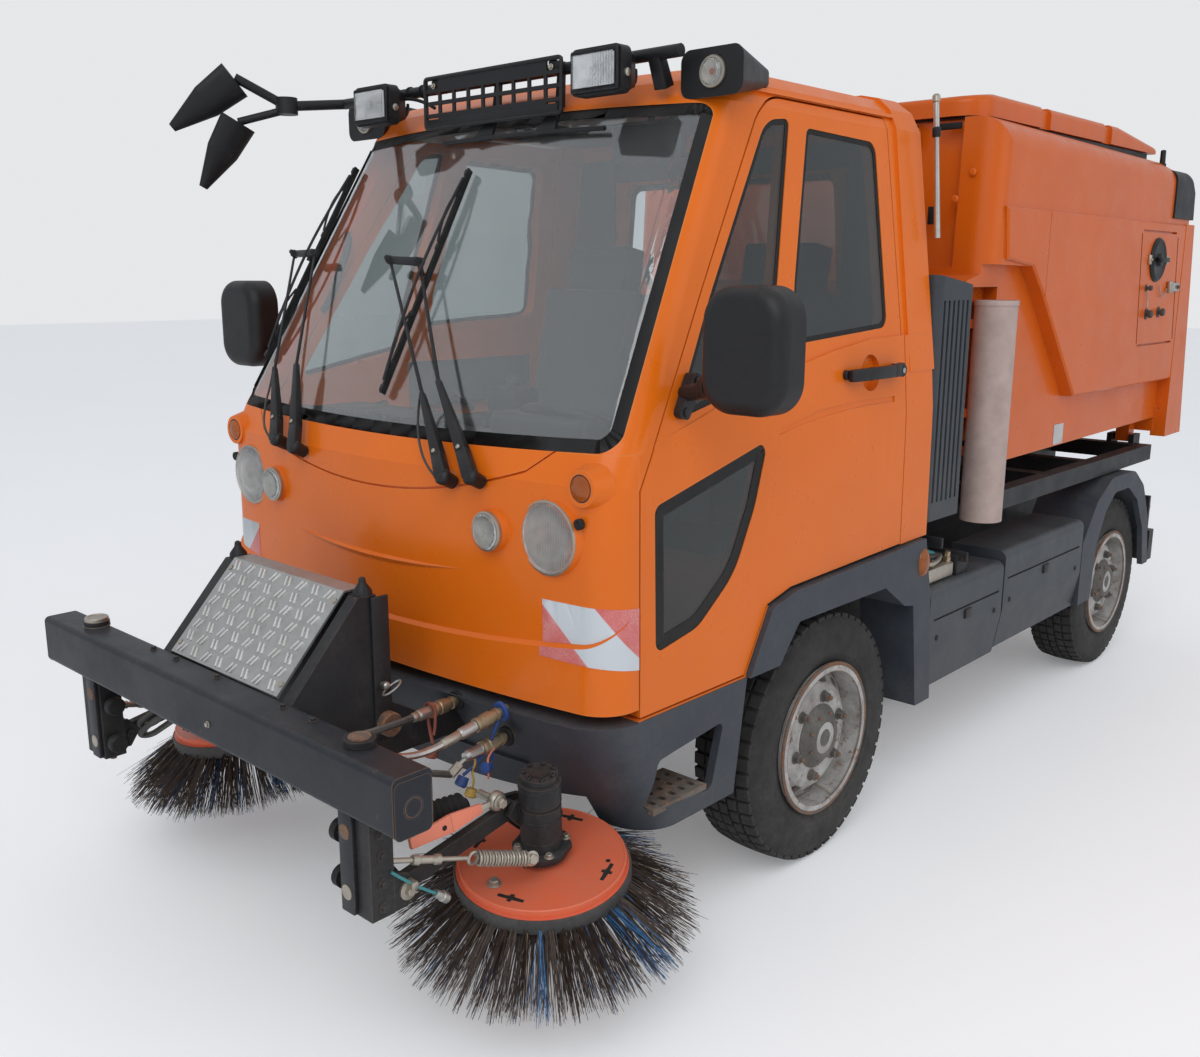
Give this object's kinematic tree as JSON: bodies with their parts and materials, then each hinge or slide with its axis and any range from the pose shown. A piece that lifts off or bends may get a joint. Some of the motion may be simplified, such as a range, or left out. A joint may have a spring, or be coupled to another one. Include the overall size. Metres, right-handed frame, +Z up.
{
  "type": "compact road sweeper",
  "caption": "Compact road sweeper truck with a tilting hopper behind the cab and two side brushes on a front beam.",
  "frame": {"origin": "on the ground at the middle of the vehicle's length and width", "axes": "+Z up, -Y towards the front of the vehicle, +X to the vehicle's left"},
  "size_m": [2.274, 4.774, 2.3624],
  "materials": {
    "orange_paint": "gloss paint, weathered",
    "frame_black": "chipped black paint",
    "grey_plastic": "textured",
    "black_plastic": "satin",
    "glass_clear": "polished",
    "glass_dark": "polished",
    "lamp_glass": "moulded",
    "tyre_rubber": "worn",
    "wheel_paint": "rust stained",
    "axle_iron": "dirty",
    "tread_aluminium": "embossed",
    "brush_paint": "faded",
    "bristle": "bristles",
    "seat_cloth": "woven",
    "pipe_plastic": "smooth",
    "step_steel": "rusty"
  },
  "bodies": {
    "chassis": {"chassis_frame": "frame_black", "front_axle": "axle_iron", "rear_axle": "axle_iron", "leaf_springs": "axle_iron", "engine_block": "axle_iron", "subframe": "frame_black", "cab_shell": "orange_paint", "cab_fascia": "orange_paint", "cab_glass": "glass_clear", "seats": "seat_cloth", "dashboard": "black_plastic", "bumper": "grey_plastic", "cab_steps": "step_steel", "front_arches": "grey_plastic", "rear_fenders": "grey_plastic", "side_boxes": "grey_plastic", "front_beam": "frame_black", "front_bracket": "frame_black", "tread_plate": "tread_aluminium", "air_box": "grey_plastic", "suction_mouth": "frame_black", "roof_bar": "black_plastic", "work_lamps": "black_plastic", "roof_pods": "black_plastic", "brush_mirrors": "black_plastic", "wipers": "black_plastic", "headlamps": "lamp_glass", "rear_bar": "frame_black"},
    "steering_wheel": {"steering_wheel": "black_plastic"},
    "hopper": {"hopper_body": "orange_paint", "tool_pipe": "pipe_plastic", "hopper_trim": "black_plastic"},
    "hopper_lid": {"hopper_lid": "orange_paint"},
    "hopper_door": {"hopper_door": "orange_paint"},
    "knuckle_left": {"knuckle_left": "axle_iron"},
    "wheel_front_left": {"wheel_front_left": "wheel_paint", "tyre_front_left": "tyre_rubber"},
    "wheel_rear_left": {"wheel_rear_left": "wheel_paint", "tyre_rear_left": "tyre_rubber"},
    "door_left": {"door_left": "orange_paint", "door_glass_left": "glass_dark", "door_mirror_left": "black_plastic"},
    "brush_bracket_left": {"brush_bracket_left": "frame_black"},
    "brush_link_left": {"brush_link_left": "frame_black"},
    "brush_head_left": {"brush_head_left": "frame_black"},
    "brush_left": {"brush_disc_left": "brush_paint", "bristles_left": "bristle"},
    "knuckle_right": {"knuckle_right": "axle_iron"},
    "wheel_front_right": {"wheel_front_right": "wheel_paint", "tyre_front_right": "tyre_rubber"},
    "wheel_rear_right": {"wheel_rear_right": "wheel_paint", "tyre_rear_right": "tyre_rubber"},
    "door_right": {"door_right": "orange_paint", "door_glass_right": "glass_dark", "door_mirror_right": "black_plastic"},
    "brush_bracket_right": {"brush_bracket_right": "frame_black"},
    "brush_link_right": {"brush_link_right": "frame_black"},
    "brush_head_right": {"brush_head_right": "frame_black"},
    "brush_right": {"brush_disc_right": "brush_paint", "bristles_right": "bristle"}
  },
  "joints": [
    {"name": "steer_left", "type": "hinge", "parent": "chassis", "child": "knuckle_left", "pos_m": [0.62, -0.8, 0.384], "axis": [0, 0, 1], "range_deg": [-32, 32]},
    {"name": "roll_front_left", "type": "hinge", "parent": "knuckle_left", "child": "wheel_front_left", "pos_m": [0.705, -0.8, 0.384], "axis": [1, 0, 0], "continuous": true},
    {"name": "roll_rear_left", "type": "hinge", "parent": "chassis", "child": "wheel_rear_left", "pos_m": [0.67, 1.64, 0.384], "axis": [1, 0, 0], "continuous": true},
    {"name": "door_hinge_left", "type": "hinge", "parent": "chassis", "child": "door_left", "pos_m": [0.822, -1.665, 1], "axis": [0, 0, -1], "range_deg": [0, 72]},
    {"name": "brush_swing_left", "type": "hinge", "parent": "chassis", "child": "brush_bracket_left", "pos_m": [0.612, -2.32, 0.6], "axis": [0, 0, -1], "range_deg": [-8, 25]},
    {"name": "brush_lift_left", "type": "hinge", "parent": "brush_bracket_left", "child": "brush_link_left", "pos_m": [0.64, -2.255, 0.44], "axis": [1, 0, 0], "range_deg": [-25, 0]},
    {"name": "brush_level_left", "type": "hinge", "parent": "brush_link_left", "child": "brush_head_left", "pos_m": [0.64, -1.93, 0.5], "axis": [1, 0, 0], "range_deg": [0, 25]},
    {"name": "brush_spin_left", "type": "hinge", "parent": "brush_head_left", "child": "brush_left", "pos_m": [0.684, -1.861, 0.369], "axis": [0.0841, -0.1187, 0.9894], "continuous": true},
    {"name": "steer_right", "type": "hinge", "parent": "chassis", "child": "knuckle_right", "pos_m": [-0.62, -0.8, 0.384], "axis": [0, 0, 1], "range_deg": [-32, 32]},
    {"name": "roll_front_right", "type": "hinge", "parent": "knuckle_right", "child": "wheel_front_right", "pos_m": [-0.705, -0.8, 0.384], "axis": [1, 0, 0], "continuous": true},
    {"name": "roll_rear_right", "type": "hinge", "parent": "chassis", "child": "wheel_rear_right", "pos_m": [-0.67, 1.64, 0.384], "axis": [1, 0, 0], "continuous": true},
    {"name": "door_hinge_right", "type": "hinge", "parent": "chassis", "child": "door_right", "pos_m": [-0.822, -1.665, 1], "axis": [0, 0, 1], "range_deg": [0, 72]},
    {"name": "brush_swing_right", "type": "hinge", "parent": "chassis", "child": "brush_bracket_right", "pos_m": [-0.612, -2.32, 0.6], "axis": [0, 0, 1], "range_deg": [-8, 25]},
    {"name": "brush_lift_right", "type": "hinge", "parent": "brush_bracket_right", "child": "brush_link_right", "pos_m": [-0.64, -2.255, 0.44], "axis": [1, 0, 0], "range_deg": [-25, 0]},
    {"name": "brush_level_right", "type": "hinge", "parent": "brush_link_right", "child": "brush_head_right", "pos_m": [-0.64, -1.93, 0.5], "axis": [1, 0, 0], "range_deg": [0, 25]},
    {"name": "brush_spin_right", "type": "hinge", "parent": "brush_head_right", "child": "brush_right", "pos_m": [-0.684, -1.861, 0.369], "axis": [-0.0841, -0.1187, 0.9894], "continuous": true},
    {"name": "steering_column", "type": "hinge", "parent": "chassis", "child": "steering_wheel", "pos_m": [0.385, -1.36, 1.3], "axis": [0, 0.4819, 0.8762], "range_deg": [-390, 390]},
    {"name": "hopper_tip", "type": "hinge", "parent": "chassis", "child": "hopper", "pos_m": [0, 2.105, 0.985], "axis": [-1, 0, 0], "range_deg": [0, 45]},
    {"name": "hopper_lid_hinge", "type": "hinge", "parent": "hopper", "child": "hopper_lid", "pos_m": [-0.712, 0, 2.272], "axis": [0, -1, 0], "range_deg": [0, 55]},
    {"name": "hopper_door_hinge", "type": "hinge", "parent": "hopper", "child": "hopper_door", "pos_m": [0, 2.254, 2.012], "axis": [1, 0, 0], "range_deg": [0, 70]}
  ],
  "couplings": [
    {"joint": "brush_level_left", "follows": "brush_lift_left", "ratio": -1},
    {"joint": "brush_level_right", "follows": "brush_lift_right", "ratio": -1},
    {"joint": "steer_right", "follows": "steer_left", "ratio": 1},
    {"joint": "steering_column", "follows": "steer_left", "ratio": 12}
  ]
}
